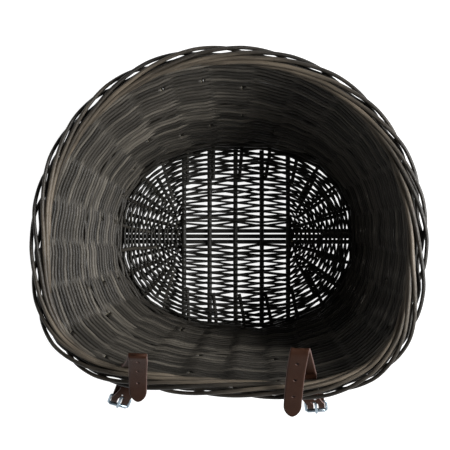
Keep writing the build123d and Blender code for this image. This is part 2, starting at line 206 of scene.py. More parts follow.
# --- meshes ---
class Bundle:
    """Collects tubes and turns them into one mesh, with each rod's grain coordinates and tone."""

    def __init__(self):
        self.verts, self.faces, self.kinds, self.grain, self.tone = [], [], [], [], []
        self.count = 0

    def rod(self, points, radius, tone=0.5, up=UP, sides=8, cut=(True, True), flat=1.0):
        """One round rod along points. cut says which ends show a pale cut face."""
        points = np.asarray(points, float)
        n = len(points)
        radius = np.broadcast_to(np.asarray(radius, float), (n,))
        tangent = unit(np.gradient(points, axis=0))
        up = np.broadcast_to(np.asarray(up, float), (n, 3))
        side = unit(np.cross(tangent, up))
        top = np.cross(side, tangent)
        angle = np.linspace(0, 2 * math.pi, sides, endpoint=False)
        ring = (side[:, None, :] * np.cos(angle)[None, :, None] * flat
                + top[:, None, :] * np.sin(angle)[None, :, None])
        verts = points[:, None, :] + ring * radius[:, None, None]
        start = RANDOM.uniform(0, 500)
        along = lengths(points)
        grain = np.empty((n, sides, 3))
        grain[..., 0] = (along + start)[:, None]
        grain[..., 1] = np.cos(angle)[None, :] * radius[:, None]
        grain[..., 2] = np.sin(angle)[None, :] * radius[:, None]
        i = np.arange(n - 1)[:, None] * sides
        j = np.arange(sides)[None, :]
        k = (j + 1) % sides
        quads = np.stack([i + j, i + sides + j, i + sides + k, i + k], axis=-1).reshape(-1, 4)
        base = self.count
        self.faces += (quads + base).tolist()
        self.kinds += [0] * len(quads)
        self.faces.append([base + m for m in range(sides)])
        self.faces.append([base + (n - 1) * sides + m for m in reversed(range(sides))])
        self.kinds += [1 if end else 0 for end in cut]
        self.verts.append(verts.reshape(-1, 3))
        self.grain.append(grain.reshape(-1, 3))
        self.tone.append(np.repeat(np.broadcast_to(np.asarray(tone, float), (n,)), sides))
        self.count += n * sides

    def build(self, name, materials):
        return make_mesh(
            name, np.vstack(self.verts), self.faces, materials, self.kinds,
            np.vstack(self.grain), np.concatenate(self.tone),
        )


def make_mesh(name, verts, faces, materials, kinds=None, grain=None, tone=None, flat_kind=1):
    mesh = bpy.data.meshes.new(name)
    mesh.from_pydata((np.asarray(verts) * MM).tolist(), [], faces)
    for material in materials:
        mesh.materials.append(material)
    if kinds is not None:
        mesh.polygons.foreach_set("material_index", kinds)
        mesh.polygons.foreach_set("use_smooth", [kind != flat_kind for kind in kinds])
    else:
        mesh.polygons.foreach_set("use_smooth", [True] * len(mesh.polygons))
    if grain is not None:
        layer = mesh.attributes.new("grain", "FLOAT_VECTOR", "POINT")
        layer.data.foreach_set("vector", np.asarray(grain, np.float32).ravel())
    if tone is not None:
        layer = mesh.attributes.new("tone", "FLOAT", "POINT")
        layer.data.foreach_set("value", np.asarray(tone, np.float32))
    mesh.update()
    piece = bpy.data.objects.new(name, mesh)
    bpy.context.scene.collection.objects.link(piece)
    return piece


def settle(piece, body, slot, *nodes):
    """Joins a finished piece to its body and hides the nodes that it stands for; slot is not used.
    """
    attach(piece, body)
    if nodes:
        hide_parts(*nodes)


# --- materials ---
class Nodes:
    """Short way to write a node tree."""

    def __init__(self, name):
        self.material = bpy.data.materials.new(name)
        self.material.use_nodes = True
        self.tree = self.material.node_tree
        self.shader = self.tree.nodes["Principled BSDF"]

    def add(self, kind, **settings):
        node = self.tree.nodes.new(kind)
        inputs = settings.pop("inputs", {})
        for key, value in settings.items():
            setattr(node, key, value)
        for key, value in inputs.items():
            self.join(value, node.inputs[key])
        return node

    def join(self, value, socket):
        if isinstance(value, bpy.types.NodeSocket):
            self.tree.links.new(value, socket)
        else:
            socket.default_value = value

    def noise(self, vector, scale, detail=3.0, roughness=0.55):
        node = self.add("ShaderNodeTexNoise", inputs={
            "Vector": vector, "Scale": scale, "Detail": detail, "Roughness": roughness})
        return node.outputs["Fac"]

    def stretch(self, vector, scale):
        node = self.add("ShaderNodeVectorMath", operation="MULTIPLY", inputs={0: vector, 1: scale})
        return node.outputs[0]

    def attribute(self, name, output):
        return self.add("ShaderNodeAttribute", attribute_name=name).outputs[output]

    def ramp(self, value, *stops):
        node = self.add("ShaderNodeValToRGB", inputs={"Fac": value})
        while len(node.color_ramp.elements) < len(stops):
            node.color_ramp.elements.new(0.5)
        for element, (place, colour) in zip(node.color_ramp.elements, stops):
            element.position = place
            element.color = (*colour, 1)
        return node.outputs["Color"]

    def mix(self, share, a, b, blend="MIX"):
        node = self.add("ShaderNodeMix", data_type="RGBA", blend_type=blend)
        self.join(share, node.inputs["Factor"])
        for value, place in ((a, 6), (b, 7)):
            if not isinstance(value, bpy.types.NodeSocket):
                value = (*value, 1)
            self.join(value, node.inputs[place])
        return node.outputs[2]

    def math(self, operation, a, b=0.0, c=0.0):
        node = self.add("ShaderNodeMath", operation=operation, inputs={0: a, 1: b, 2: c})
        return node.outputs[0]

    def bump(self, height, distance, strength=1.0):
        node = self.add("ShaderNodeBump", inputs={
            "Height": height, "Distance": distance, "Strength": strength})
        self.join(node.outputs["Normal"], self.shader.inputs["Normal"])

    def finish(self, colour, roughness, metallic=0.0, **sockets):
        self.join(colour, self.shader.inputs["Base Color"])
        self.join(roughness, self.shader.inputs["Roughness"])
        self.shader.inputs["Metallic"].default_value = metallic
        for key, value in sockets.items():
            self.shader.inputs[key.replace("_", " ")].default_value = value
        return self.material


def willow(name, dark, middle, light, roughness=0.5):
    """Stained willow bark: streaks along the rod, blotches, small leaf scars and a dull sheen."""
    n = Nodes(name)
    grain = n.attribute("grain", "Vector")
    # tone is each rod's random lightness of bark; on the border rods it also holds painted light
    # and shade by place across the rim, and painted shade on the rods under the border.
    tone = n.attribute("tone", "Fac")
    streak = n.noise(n.stretch(grain, (0.035, 1.0, 1.0)), 1.1, 4.0, 0.6)
    blotch = n.noise(n.stretch(grain, (0.02, 0.12, 0.12)), 1.0, 2.0)
    scars = n.add("ShaderNodeTexVoronoi", inputs={
        "Vector": n.stretch(grain, (0.045, 0.2, 0.2)), "Scale": 1.0, "Randomness": 1.0})
    scar = n.math("LESS_THAN", scars.outputs["Distance"], 0.075)
    shade = n.math("ADD", n.math("MULTIPLY", streak, 0.55), n.math("MULTIPLY", blotch, 0.45))
    shade = n.math("ADD", shade, n.math("MULTIPLY_ADD", tone, 0.36, -0.18))
    colour = n.ramp(shade, (0.30, dark), (0.52, middle), (0.74, light))
    colour = n.mix(n.math("MULTIPLY", scar, 0.7), colour, tuple(c * 0.35 for c in dark))
    wrinkle = n.noise(n.stretch(grain, (0.12, 2.2, 2.2)), 1.0, 3.0, 0.65)
    n.bump(n.math("ADD", wrinkle, n.math("MULTIPLY", scar, -0.6)), 0.0005, 0.7)
    rough = n.math("MULTIPLY_ADD", streak, 0.3, roughness - 0.15)
    return n.finish(colour, rough, Specular_IOR_Level=0.3)


def cut_wood(name, pale, core):
    n = Nodes(name)
    grain = n.attribute("grain", "Vector")
    colour = n.mix(n.noise(grain, 0.9), pale, core)
    return n.finish(colour, 0.75)


def leather(name, dark, light):
    n = Nodes(name)
    grain = n.attribute("grain", "Vector")
    pores = n.add("ShaderNodeTexVoronoi", inputs={"Vector": grain, "Scale": 1.5})
    cloud = n.noise(grain, 0.09, 3.0)
    fine = n.noise(grain, 1.6, 2.0)
    share = n.math("ADD", n.math("MULTIPLY", cloud, 0.8), n.math("MULTIPLY", fine, 0.25))
    colour = n.mix(share, dark, light)
    n.bump(n.math("ADD", pores.outputs["Distance"], fine), 0.00025, 0.6)
    return n.finish(colour, n.math("MULTIPLY_ADD", fine, 0.2, 0.48), Specular_IOR_Level=0.06)


def steel(name, tint, roughness):
    n = Nodes(name)
    spot = n.add("ShaderNodeTexCoord").outputs["Object"]
    scratch = n.noise(n.stretch(spot, (900, 160, 900)), 1.0, 3.0)
    colour = n.mix(scratch, tuple(c * 0.8 for c in tint), tint)
    n.bump(scratch, 0.00006, 0.5)
    return n.finish(colour, n.math("MULTIPLY_ADD", scratch, 0.25, roughness), metallic=1.0)


WILLOW = willow("willow_bark", (0.012, 0.0105, 0.008), (0.036, 0.032, 0.026), (0.095, 0.085, 0.069))
BORDER_WILLOW = willow(
    "border_willow_bark", (0.009, 0.0075, 0.0055), (0.030, 0.0245, 0.018),
    (0.105, 0.085, 0.062), 0.45)
STICK_WILLOW = willow(
    "stick_willow_bark", (0.008, 0.0075, 0.006), (0.018, 0.017, 0.014), (0.04, 0.037, 0.03))
CUT = cut_wood("cut_willow", (0.33, 0.30, 0.21), (0.20, 0.17, 0.11))
LEATHER = leather("brown_leather", (0.017, 0.0066, 0.0034), (0.032, 0.0130, 0.0074))
LEATHER_EDGE = leather("leather_edge", (0.06, 0.038, 0.033), (0.105, 0.072, 0.066))
BUCKLE_STEEL = steel("nickel_plate", (0.30, 0.37, 0.43), 0.22)
RIVET_STEEL = steel("rivet_nickel", (0.5, 0.5, 0.5), 0.28)
ROD_MATERIALS = (WILLOW, CUT)
BORDER_MATERIALS = (BORDER_WILLOW, CUT)
STICK_MATERIALS = (STICK_WILLOW, CUT)


# --- wall ---
def clear_of_slots(points, radius):
    """Pushes rods up or down where a strap goes through the wall."""
    room = STRAP_THICKNESS / 2 + radius + 0.2
    for strap in STRAPS.values():
        x = strap["slot"][0]
        near = np.exp(-(((points[:, 0] - x) / (STRAP_WIDTH * 0.62)) ** 6))
        near = near * (points[:, 1] < -100)
        above = points[:, 2] - SLOT_HEIGHT
        push = np.clip(room - np.abs(above), 0, None) * np.where(above >= 0, 1, -1)
        points[:, 2] += push * near
    return points


def weave_band(bundle, bottom, top, first_row):
    """Rows of single rods, one spiral round an odd number of stakes, so that rows alternate.

    A rod runs straight on one side of the wall and changes sides just before the next stake.
    """
    rows = int(round((top - bottom) / ROW_PITCH))
    pitch = (top - bottom) / rows
    places, leaving, coming = np.array(ROW_PATH).T
    first = first_row * STAKE_COUNT
    last = first + rows * STAKE_COUNT
    start = first
    while start < last:
        end = min(start + int(RANDOM.integers(17, 34)), last)
        if last - end < 6:
            end = last
        stakes = np.arange(start, end)
        panel = (stakes[:, None] + places[None, :]).ravel()
        depth = -np.where(stakes[:, None] % 2 == 0, leaving, coming).ravel()
        height = bottom + (panel - first + STAKE_COUNT * 0.5) / STAKE_COUNT * pitch
        height = np.clip(height, bottom + ROW_RADIUS * 0.8, top - ROW_RADIUS * 0.8)
        drift = RANDOM.normal(0, ROW_WANDER, end - start + 3)
        wander = np.interp(panel, np.arange(start - 1, end + 2), drift)
        thick_end, thin_end = RANDOM.uniform(1.0, 1.1), RANDOM.uniform(0.84, 0.93)
        radius = np.linspace(thick_end, thin_end, len(panel)) * ROW_RADIUS
        points = wall_line(panel, height + wander, depth)
        clear_of_slots(points, ROW_RADIUS)
        bundle.rod(points, radius, tone=float(np.clip(RANDOM.normal(0.5, 0.3), 0, 1)))
        start = end
    return first_row + rows


def wale(bundle, height, radius, swing_out, turns=1.0, tone_shift=0.0, lift=1.4):
    """Three heavier rods twisted round the stakes, each over two of them and behind the third."""
    for strand in range(3):
        panel = np.arange(0, int(STAKE_COUNT * turns) * SAMPLES + 1) / SAMPLES + strand
        phase = 2 * math.pi * (panel - strand) / 3
        depth = swing_out * (0.25 + np.cos(phase))
        rise = lift * np.sin(phase)
        points = wall_line(panel, np.full(len(panel), height) + rise, depth)
        clear_of_slots(points, radius)
        tone = float(np.clip(RANDOM.normal(0.5 + tone_shift, 0.15), 0, 1))
        bundle.rod(points, radius, tone=tone)


def build_wall():
    foot = Bundle()
    for height in FOOT_WALES:
        wale(foot, height, 2.3, 4.2, tone_shift=-0.15)
    for height, inset in FOOT_LINING:
        panel = np.arange(0, STAKE_COUNT * SAMPLES + 1) / SAMPLES
        depth = -inset - 0.7 * np.cos(math.pi * panel)
        foot.rod(wall_line(panel, np.full(len(panel), height), depth), 2.1, tone=0.3)
    settle(foot.build("foot_wale_rods", ROD_MATERIALS), "basket", "willow", "foot_wale")
    lower, upper = Bundle(), Bundle()
    row = weave_band(lower, FOOT_TOP - 1.0, MIDDLE_BAND - 0.5, 0)
    wale(lower, MIDDLE_BAND, 1.8, 2.8, tone_shift=-0.1, lift=1.2)
    weave_band(upper, MIDDLE_BAND + 0.5, WEAVE_TOP + 2.5, row)
    settle(lower.build("lower_weave_rods", ROD_MATERIALS), "basket", "willow", "wall_lower_weave")
    settle(upper.build("upper_weave_rods", ROD_MATERIALS), "basket", "willow", "wall_upper_weave")


# --- border: every stake's end is bent down and laid round the rim, over its neighbours ---
BORDER_RADIUS = 2.45
BORDER_TRAVEL = 5.1           # in stakes
BORDER_PROFILE = (            # share of the travel, place across the rim, height
    (0.00, -1.5, 193.5), (0.05, -5.0, 198.5), (0.12, -7.4, 202.0), (0.28, -7.0, 206.0),
    (0.46, -4.4, 208.2), (0.60, 0.6, 208.4), (0.72, 5.6, 206.6), (0.81, 8.5, 203.6),
    (0.90, 8.6, 200.8), (0.97, 5.4, 198.2), (1.00, 3.6, 197.0),
)
BORDER_SPREAD = 2.4           # how much wider the border is at the basket's sides
CORE_RODS = (                 # under the border: place across, height, how far it waves
    (-3.6, 199.8, 0.0), (-1.6, 203.4, 0.0), (0.7, 199.0, 0.3), (4.6, 198.8, 1.3),
)


def border_line(panel, height, across):
    """Points on the border, which is a little wider at the basket's sides."""
    x = wall_line(panel, height, across, chord=0.15)[:, 0]
    wider = BORDER_SPREAD * (x / RIM_HALF_WIDTH) ** 2 * np.clip(across / 8, 0, 1)
    return wall_line(panel, height, across + wider, chord=0.15)


def build_border():
    curve = smooth_line(np.array(BORDER_PROFILE), 200)
    border = Bundle()
    t = np.linspace(0, 1, 64)
    for index in range(STAKE_COUNT):
        reach = BORDER_TRAVEL + RANDOM.normal(0, 0.12)
        across = np.interp(t, curve[:, 0], curve[:, 1]) + RANDOM.normal(0, 0.45)
        height = np.interp(t, curve[:, 0], curve[:, 2]) + RANDOM.normal(0, 0.3)
        panel = index + STAKE_COUNT - t * reach
        points = border_line(panel, height, across)
        radius = BORDER_RADIUS * np.interp(t, (0, 1), (1.1, 0.86))
        # Painted light and shade: on top of each rod's random tone, the parts of a rod on the inner
        # side of the rim are made lighter and those on the outer side darker, where the outer rods
        # fall in shadow.
        tone = RANDOM.normal(0.5, 0.16) + np.interp(across, (-6, -2, 6), (0.3, 0.1, -0.4))
        border.rod(points, radius, tone=tone, sides=10)
    for across, height, wave in CORE_RODS:
        panel = np.arange(0, STAKE_COUNT * SAMPLES + 1) / SAMPLES
        level = height + 0.3 * np.sin(panel * 2.1 + across)
        sway = across + wave * np.cos(2 * math.pi * panel) + 0.3 * wave * np.sin(panel * 4.4)
        # These rods under the border get the darkest tone: painted shade for the deep shadow in the
        # band under the border.
        border.rod(border_line(panel, level, sway), 2.5, tone=0.0)
    settle(border.build("border_rods", BORDER_MATERIALS), "basket", "border_willow", "rim_border")


# --- floor ---
CROSS_X = [(i - 2) * 36.5 for i in range(5)]
CROSS_RADIUS, CROSS_HEIGHT = 3.2, 10.7
LONG_Y = [(i - 1) * 7.6 for i in range(3)]
LONG_RADIUS, LONG_HEIGHT, LONG_HALF = 3.0, 4.1, 157.0
END_RADIUS, END_HEIGHT, END_START = 2.6, 7.4, 84.0
END_ANGLES = (-72, -48, -24, 24, 48, 72)
END_SPREAD, END_OUTER_TURN = 34.0, 0.62
EDGE_INSET = 6.4
FLOOR_ROWS = 30
FLOOR_FILL = 0.55             # rod radius as a share of the row pitch, where rows are close
FLOOR_PAIRING = 0.38          # how far two rows draw together at a stick, as a share of the pitch
FLOOR_ROD = 1.62
INNER_REACH = (3.0, 11.5)     # first row: beyond the outer cross stick, beside the long sticks


def floor_edge(x):
    half_x, half_y = BASE_HALF[0] - EDGE_INSET, BASE_HALF[1] - EDGE_INSET
    left = np.clip(1 - np.abs(x / half_x) ** BASE_SQUARENESS, 0, None)
    return half_y * left ** (1 / BASE_SQUARENESS)


def end_stick(side, angle):
    turn = math.radians(angle)
    start = np.array((side * END_START, END_SPREAD * math.sin(turn)))
    outer_turn = turn * END_OUTER_TURN
    end = np.array((side * (BASE_HALF[0] - EDGE_INSET - 2) * math.cos(outer_turn),
                    (BASE_HALF[1] - EDGE_INSET) * math.sin(outer_turn)))
    return start, end - unit(end - start)


def floor_ring(share):
    """One row of the floor, from share 0 inside to 1 at the edge, anticlockwise from the front."""
    outer_x = CROSS_X[-1]
    straight = np.linspace(0, outer_x, 24, endpoint=False)
    turn = np.linspace(-math.pi / 2, math.pi / 2, 97)
    edge_radius = ray_to_edge(outer_x, turn)
    inner_radius = INNER_REACH[0] * INNER_REACH[1] / np.sqrt(
        (INNER_REACH[1] * np.cos(turn)) ** 2 + (INNER_REACH[0] * np.sin(turn)) ** 2)
    radius = inner_radius + (edge_radius - inner_radius) * share
    end = np.stack([outer_x + radius * np.cos(turn), radius * np.sin(turn)], axis=1)
    low = INNER_REACH[1] + (floor_edge(straight) - INNER_REACH[1]) * share
    front = np.stack([straight, -low], axis=1)
    back = np.stack([straight[::-1], low[::-1]], axis=1)
    right = np.vstack([front, end, back])
    left = -right
    return np.vstack([right, left])


def ray_to_edge(x, turn):
    """Distance from (x, 0) to the floor's edge in each direction."""
    reach = np.linspace(0, 130, 521)
    px = x + reach[None, :] * np.cos(turn)[:, None]
    py = reach[None, :] * np.sin(turn)[:, None]
    half_x, half_y = BASE_HALF[0] - EDGE_INSET, BASE_HALF[1] - EDGE_INSET
    inside = (np.abs(px / half_x) ** BASE_SQUARENESS + np.abs(py / half_y) ** BASE_SQUARENESS) < 1
    return reach[np.clip(inside.sum(axis=1) - 1, 0, None)]


def spokes():
    """Every stick that a row crosses: the line that it lies on, its height and its radius."""
    found = []
    for x in CROSS_X:
        for side in (-1, 1):
            found.append((((x, 0), (x, side * 140)), CROSS_HEIGHT, CROSS_RADIUS))
    for side in (-1, 1):
        hub = (side * (CROSS_X[-1] + 2), 0)
        for angle in END_ANGLES:
            start, end = end_stick(side, angle)
            line = (hub, tuple(start), tuple(start + (end - start) * 1.3))
            found.append((line, END_HEIGHT, END_RADIUS))
        for y in (LONG_Y[0], LONG_Y[-1]):
            found.append((((side * CROSS_X[-1], y), (side * 175, y)), LONG_HEIGHT, LONG_RADIUS))
    return found


def crossings(path):
    """Where a closed path crosses each stick, in order: place on the path, height and radius."""
    found = []
    a, b = path, np.roll(path, -1, axis=0)
    for line, height, radius in SPOKES:
        hits = []
        for p, q in zip(line[:-1], line[1:]):
            p, q = np.array(p, float), np.array(q, float)
            r, s = b - a, q - p
            cross = r[:, 0] * s[1] - r[:, 1] * s[0]
            cross = np.where(np.abs(cross) < 1e-9, 1e-9, cross)
            t = ((p[0] - a[:, 0]) * s[1] - (p[1] - a[:, 1]) * s[0]) / cross
            u = ((p[0] - a[:, 0]) * r[:, 1] - (p[1] - a[:, 1]) * r[:, 0]) / cross
            good = (t >= 0) & (t < 1) & (u >= 0) & (u <= 1)
            hits += [i + t[i] for i in np.nonzero(good)[0]]
        if hits:
            found.append((hits[0], height, radius))
    return sorted(found)


def row_signs(met, first):
    """Over and under at each stick that a row meets. The long sticks count as one."""
    signs, current, previous = [], first, None
    for _, level, _ in met:
        if not (previous == LONG_HEIGHT and level == LONG_HEIGHT):
            current = -current
        signs.append(current)
        previous = level
    return np.array(signs, float)


def row_shares():
    """Where the floor's rows lie, wider apart inside than at the edge, with some chance in it."""
    steps = np.linspace(1.2, 0.88, FLOOR_ROWS) * RANDOM.uniform(0.82, 1.18, FLOOR_ROWS)
    return (np.cumsum(steps) - steps / 2) / steps.sum()


def floor_row(bundle, row):
    """One row of the floor, over and under the sticks it meets, in rods of uneven length."""
    share = ROW_SHARES[row]
    path = floor_ring(share)
    half_row = 0.5 / FLOOR_ROWS
    pitch = np.linalg.norm(floor_ring(share + half_row) - floor_ring(share - half_row), axis=1)
    met = crossings(path)
    place, level, thick = (np.array([m[k] for m in met]) for k in range(3))
    signs = row_signs(met, 1 if row % 2 else -1)
    shifts = signs * RANDOM.normal(FLOOR_PAIRING, 0.2, len(signs))
    index = np.arange(len(path), dtype=float)
    last = np.searchsorted(place, index, side="right") - 1
    following = (last + 1) % len(place)
    gap = (place[following] - place[last]) % len(path)
    t = np.clip(((index - place[last]) % len(path)) / np.maximum(gap, 1e-6), 0, 1)
    ease = (1 - swing(t)) / 2

    def between(values):
        return values[last] * (1 - ease) + values[following] * ease

    sign = between(signs)
    radius = np.clip(pitch * FLOOR_FILL, 1.25, FLOOR_ROD) * RANDOM.uniform(0.9, 1.22)
    z = np.maximum(between(level) + sign * (between(thick) + radius * 0.9), radius + 0.05)
    ahead, behind = np.roll(path, -1, axis=0), np.roll(path, 1, axis=0)
    outward = unit(np.stack([(ahead - behind)[:, 1], (behind - ahead)[:, 0]], axis=1))
    knots = RANDOM.normal(0, 0.55, len(place) + 1)
    wander = np.interp(index, np.append(place, len(path)), knots)
    path = path + outward * (between(shifts) * pitch + wander)[:, None]
    points = np.column_stack([path, z])
    turned = int(RANDOM.integers(0, len(points)))
    points, radius = np.roll(points, turned, axis=0), np.roll(radius, turned)
    points, radius = np.vstack([points, points[:2]]), np.append(radius, radius[:2])
    middle = int(RANDOM.uniform(0.35, 0.65) * len(points))
    for a, b in ((0, middle), (middle, len(points) - 1)):
        tone = float(np.clip(RANDOM.normal(0.42, 0.25), 0, 1))
        bundle.rod(points[a:b + 1], radius[a:b + 1], tone=tone, sides=6)


def stick(bundle, start, end, radius, tone=0.5):
    t = np.linspace(0, 1, 24)[:, None]
    points = np.asarray(start, float) * (1 - t) + np.asarray(end, float) * t
    bow = np.sin(t[:, 0] * math.pi) * RANDOM.normal(0, 0.25)
    points[:, 0] += bow * abs(unit(np.asarray(end, float) - np.asarray(start, float))[1])
    thickness = radius * (1 + 0.04 * np.sin(np.linspace(0, 9, 24) + RANDOM.uniform(0, 6)))
    bundle.rod(points, thickness, tone=tone, sides=12)


def build_floor():
    weave = Bundle()
    for row in range(FLOOR_ROWS):
        floor_row(weave, row)
    settle(weave.build("floor_weave_rods", STICK_MATERIALS), "basket", "willow", "base_weave")
    for index, x in enumerate(CROSS_X):
        reach = float(floor_edge(x)) - 1
        piece = Bundle()
        stick(piece, (x, -reach, CROSS_HEIGHT), (x, reach, CROSS_HEIGHT), CROSS_RADIUS)
        settle(piece.build(f"cross_stick_rod_{index + 1}", STICK_MATERIALS), "basket", "stick",
               f"base_cross_stick_{index + 1}")
    for index, y in enumerate(LONG_Y):
        piece = Bundle()
        stick(piece, (-LONG_HALF, y, LONG_HEIGHT), (LONG_HALF, y, LONG_HEIGHT), LONG_RADIUS)
        settle(piece.build(f"long_stick_rod_{index + 1}", STICK_MATERIALS), "basket", "stick",
               f"base_long_stick_{index + 1}")
    for side, name in ((-1, "left"), (1, "right")):
        piece = Bundle()
        for angle in END_ANGLES:
            start, end = end_stick(side, angle)
            stick(piece, (*start, END_HEIGHT), (*end, END_HEIGHT), END_RADIUS)
        settle(piece.build(f"end_stick_rods_{name}", STICK_MATERIALS), "basket", "stick",
               f"base_end_sticks_{name}")


def stick_ends():
    """Outer end of every floor stick and the way inward along it."""
    found = []
    for x in CROSS_X:
        for side in (-1, 1):
            found.append(((x, side * float(floor_edge(x))), (0, -side), CROSS_HEIGHT))
    for side in (-1, 1):
        found.append(((side * 160.0, 0.0), (-side, 0), LONG_HEIGHT + 3))
        for angle in END_ANGLES:
            start, end = end_stick(side, angle)
            found.append((tuple(end), tuple(unit(start - end)), END_HEIGHT))
    return found


STAKE_RADIUS = 2.5
STAKE_RISE = (14, 40, 90, 140, 180, 200)      # heights that a stake's line goes through
STAKE_INSERT = 42.0           # how far a stake's foot is pushed in beside a floor stick


def build_stakes():
    ends = stick_ends()
    for index in range(STAKE_COUNT):
        foot = wall_curve(stake_share(index), 9.0)
        nearest = min(ends, key=lambda e: np.hypot(e[0][0] - foot[0], e[0][1] - foot[1]))
        place, inward, level = np.array(nearest[0]), np.array(nearest[1]), nearest[2]
        across = np.array((-inward[1], inward[0]))
        apart = (foot - place) @ across
        beside = float(np.clip(apart, -12, 12)) if abs(apart) > 5 else math.copysign(5.0, apart)
        inner = place + inward * STAKE_INSERT + across * math.copysign(5.0, apart)
        outer = place + inward * 8 + across * beside
        rise = [np.append(wall_curve(stake_share(index), h), h) for h in STAKE_RISE]
        line = smooth_line(
            [np.append(inner, level), np.append((inner + outer) / 2, level),
             np.append(outer, level), np.append(foot, 7.5)] + rise, 60)
        radius = STAKE_RADIUS * np.interp(np.linspace(0, 1, 60), (0, 1), (1.06, 0.9))
        outward = np.append(unit(foot), 0.35)
        piece = Bundle()
        piece.rod(line, radius, tone=float(RANDOM.uniform(0.3, 0.6)), up=outward, sides=8)
        settle(piece.build(f"stake_rod_{index + 1:02d}", ROD_MATERIALS), "basket", "willow",
               f"side_stake_{index + 1:02d}")


# --- leather ---
def strip_section(half, thickness):
    """Outline of a leather strip's section, with softened corners: place across, and height."""
    h, c = thickness / 2, 0.55
    top = [(x, h) for x in np.linspace(half - c, -half + c, 11)]
    left = [(-half, h - c), (-half, -h + c)]
    low = [(x, -h) for x in np.linspace(-half + c, half - c, 11)]
    right = [(half, -h + c), (half, h - c)]
    return np.array(top + left + low + right)


def point_width(along, total):
    """Half width of the strap near its pointed end."""
    left = np.clip((total - along) / TAIL_POINT, 0, 1)
    return STRAP_WIDTH / 2 * np.clip(1 - (1 - left) ** 2, 0.004, 1) ** 0.6


def flat_strip(total, rows):
    """Flat strip as vertices (across, along, height) and faces."""
    along = np.linspace(0, total, rows)
    fine = total - TAIL_POINT * (1 - np.sin(np.linspace(0, math.pi / 2, 18)))
    along = np.unique(np.concatenate([along[along < total - TAIL_POINT], fine]))
    verts = []
    for v in along:
        half = point_width(v, total)
        section = strip_section(STRAP_WIDTH / 2, STRAP_THICKNESS)
        section[:, 0] *= half / (STRAP_WIDTH / 2)
        verts.append(np.column_stack([section[:, 0], np.full(len(section), v), section[:, 1]]))
    n, m = len(along), len(verts[0])
    faces = []
    for i in range(n - 1):
        for j in range(m):
            k = (j + 1) % m
            faces.append((i * m + j, (i + 1) * m + j, (i + 1) * m + k, i * m + k))
    faces.append(tuple(range(m)))
    faces.append(tuple((n - 1) * m + j for j in reversed(range(m))))
    return np.vstack(verts), faces


def punch(piece, spots, radius):
    """Cuts round holes through a flat strip."""
    for x, y in spots:
        bpy.ops.mesh.primitive_cylinder_add(
            vertices=20, radius=radius * MM, depth=20 * MM, location=(x * MM, y * MM, 0))
        cutter = bpy.context.active_object
        change = piece.modifiers.new("hole", "BOOLEAN")
        change.operation = "DIFFERENCE"
        change.object = cutter
        change.solver = "EXACT"
        apply_modifiers(piece)
        bpy.data.objects.remove(cutter)


def apply_modifiers(piece):
    graph = bpy.context.evaluated_depsgraph_get()
    mesh = bpy.data.meshes.new_from_object(piece.evaluated_get(graph))
    piece.modifiers.clear()
    piece.data = mesh


def bent_strip(name, line, holes, materials):
    """Leather strip bent along a smooth line, its width level with X."""
    along = lengths(line)
    total = along[-1]
    verts, faces = flat_strip(total, 120)
    piece = make_mesh(name, verts, faces, materials)
    punch(piece, [(x, total - up) for x, up in holes], HOLE_RADIUS)
    mesh = piece.data
    co = np.zeros(len(mesh.vertices) * 3)
    mesh.vertices.foreach_get("co", co)
    flat = co.reshape(-1, 3) / MM
    kinds = []
    for face in mesh.polygons:
        centre = np.array(face.center) / MM
        edge = abs(centre[0]) > point_width(centre[1], total) - 0.45
        near_hole = min(math.hypot(centre[0] - x, centre[1] - (total - up)) for x, up in holes)
        kinds.append(1 if edge or near_hole < 1.95 and abs(face.normal[2]) < 0.5 else 0)
    tangent = unit(np.gradient(line, axis=0))
    across = unit(np.array((1.0, 0, 0)) - tangent[:, :1] * tangent)
    out = np.cross(across, tangent)
    v = np.clip(flat[:, 1], 0, total)
    spot = np.stack([np.interp(v, along, line[:, k]) for k in range(3)], axis=1)
    side = np.stack([np.interp(v, along, across[:, k]) for k in range(3)], axis=1)
    face = np.stack([np.interp(v, along, out[:, k]) for k in range(3)], axis=1)
    bent = spot + side * flat[:, :1] + unit(face) * flat[:, 2:]
    mesh.vertices.foreach_set("co", (bent * MM).ravel())
    layer = mesh.attributes.new("grain", "FLOAT_VECTOR", "POINT")
    layer.data.foreach_set("vector", flat.astype(np.float32).ravel())
    mesh.polygons.foreach_set("material_index", kinds)
    mesh.polygons.foreach_set("use_smooth", [True] * len(kinds))
    mesh.update()
    return piece


BUCKLE_DROP = math.radians(36)
HEEL_RADIUS, BAR_CLEARANCE = 1.5, 0.15
FRAME_INSIDE, FRAME_SIDE, FRAME_LENGTH = 21.6, 2.2, 14.5
ROLLER_RADIUS = 2.25
RIVET_FROM_BAR = 10.6
RETURN_LENGTH = 14.0
PRONG_SLOT = (7.6, 17)        # reach before the fold, and rows after it
SLOT_COLUMNS = (5, 6)         # the columns of the leather that the prong's slot takes out
LOOP_REACH = 6.0              # how far the fold stands off the heel bar, towards the front bar


class Local:
    """A place on the buckle: x along the heel bar, y towards the front bar, z to the underside."""

    def __init__(self, origin, x, y, z):
        self.origin = np.array(origin, float)
        self.axes = np.array((x, y, z), float)

    def world(self, points):
        return self.origin + np.asarray(points, float) @ self.axes


def buckle_places(strap):
    x, outer, _ = strap["slot"]
    c, s = math.cos(BUCKLE_DROP), math.sin(BUCKLE_DROP)
    along, under = np.array((0, -c, -s)), np.array((0, s, -c))
    sideways = np.array((1.0, 0, 0))
    leather_place = Local((x, outer, SLOT_HEIGHT), sideways, along, under)
    sunk = HEEL_RADIUS + BAR_CLEARANCE + 1.5
    turn = math.radians(strap["turn"])
    heel_x = sideways * math.cos(turn) + along * math.sin(turn)
    heel_y = np.cross(under, heel_x)
    origin = leather_place.world((*strap["bar"], sunk))
    return leather_place, Local(origin, heel_x, heel_y, under)


